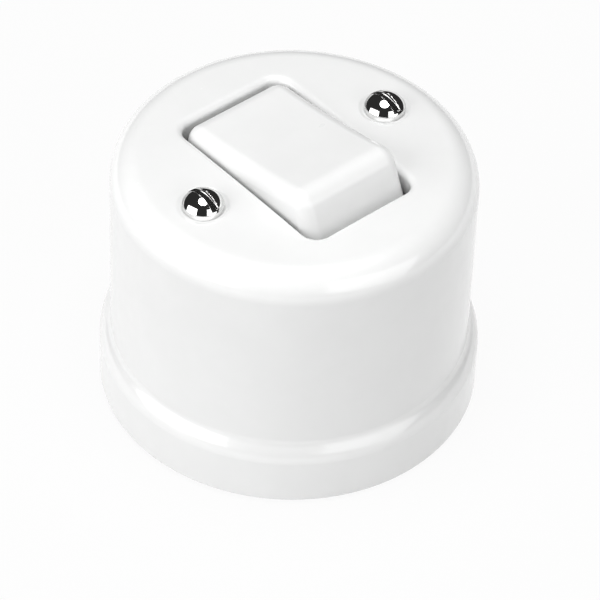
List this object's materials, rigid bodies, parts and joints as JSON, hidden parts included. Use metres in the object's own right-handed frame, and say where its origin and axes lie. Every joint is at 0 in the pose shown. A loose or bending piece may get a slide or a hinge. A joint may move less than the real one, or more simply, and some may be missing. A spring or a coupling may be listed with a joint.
{
  "type": "porcelain rocker switch",
  "caption": "Surface-mounted round porcelain crossover switch with a dished rocker and a screwed-on one-piece cover.",
  "frame": {"origin": "centre of the back, on the wall plane", "axes": "+Z out of the wall, +X along the line of the two cover screws, +Y towards the rocker's pressed end"},
  "size_m": [0.067, 0.067, 0.0545],
  "materials": {
    "cover_glaze": "glossy white glaze",
    "rocker_glaze": "glossy white glaze",
    "bisque_porcelain": "unglazed, fine matt",
    "screw_plating": "polished plating",
    "brass": "stamped and turned, satin",
    "zinc_steel": "zinc plated",
    "contact_silver": "silver faced",
    "spring_wire": "drawn wire",
    "carrier_moulding": "moulded, satin",
    "vulcan_fibre": "pressed fibre sheet"
  },
  "bodies": {
    "housing": {"base": "bisque_porcelain", "cover": "cover_glaze", "cover_screws": "screw_plating", "insulating_plate": "vulcan_fibre", "screw_pillars": "brass", "input_terminal_a": "brass", "input_terminal_b": "brass", "input_rivets": "brass", "output_strap_1": "brass", "output_strap_2": "brass", "output_posts": "brass", "pillar_screws": "zinc_steel", "bracket_left": "zinc_steel", "bracket_right": "zinc_steel", "pivot_pins": "zinc_steel", "lever_pins": "zinc_steel", "wire_clamps": "zinc_steel", "terminal_screws": "zinc_steel", "fixed_contacts": "contact_silver", "contact_spring_a": "spring_wire", "contact_spring_b": "spring_wire"},
    "rocker_button": {"rocker": "rocker_glaze", "rocker_carrier": "carrier_moulding"},
    "lever_arm_a": {"lever_a": "brass", "moving_contacts_a": "contact_silver"},
    "lever_arm_b": {"lever_b": "brass", "moving_contacts_b": "contact_silver"}
  },
  "joints": [
    {"name": "rocker_tilt", "type": "hinge", "parent": "housing", "child": "rocker_button", "pos_m": [0, 0, 0.041], "axis": [1, 0, 0], "range_deg": [0, 17], "deforming": ["contact_spring_a", "contact_spring_b"]},
    {"name": "lever_a_swing", "type": "hinge", "parent": "housing", "child": "lever_arm_a", "pos_m": [-0.005, 0, 0.0245], "axis": [1, 0, 0], "range_deg": [0, 17]},
    {"name": "lever_b_swing", "type": "hinge", "parent": "housing", "child": "lever_arm_b", "pos_m": [0.005, 0, 0.0245], "axis": [1, 0, 0], "range_deg": [0, 17]}
  ],
  "couplings": [
    {"joint": "lever_a_swing", "follows": "rocker_tilt", "ratio": 1},
    {"joint": "lever_b_swing", "follows": "rocker_tilt", "ratio": 1}
  ]
}
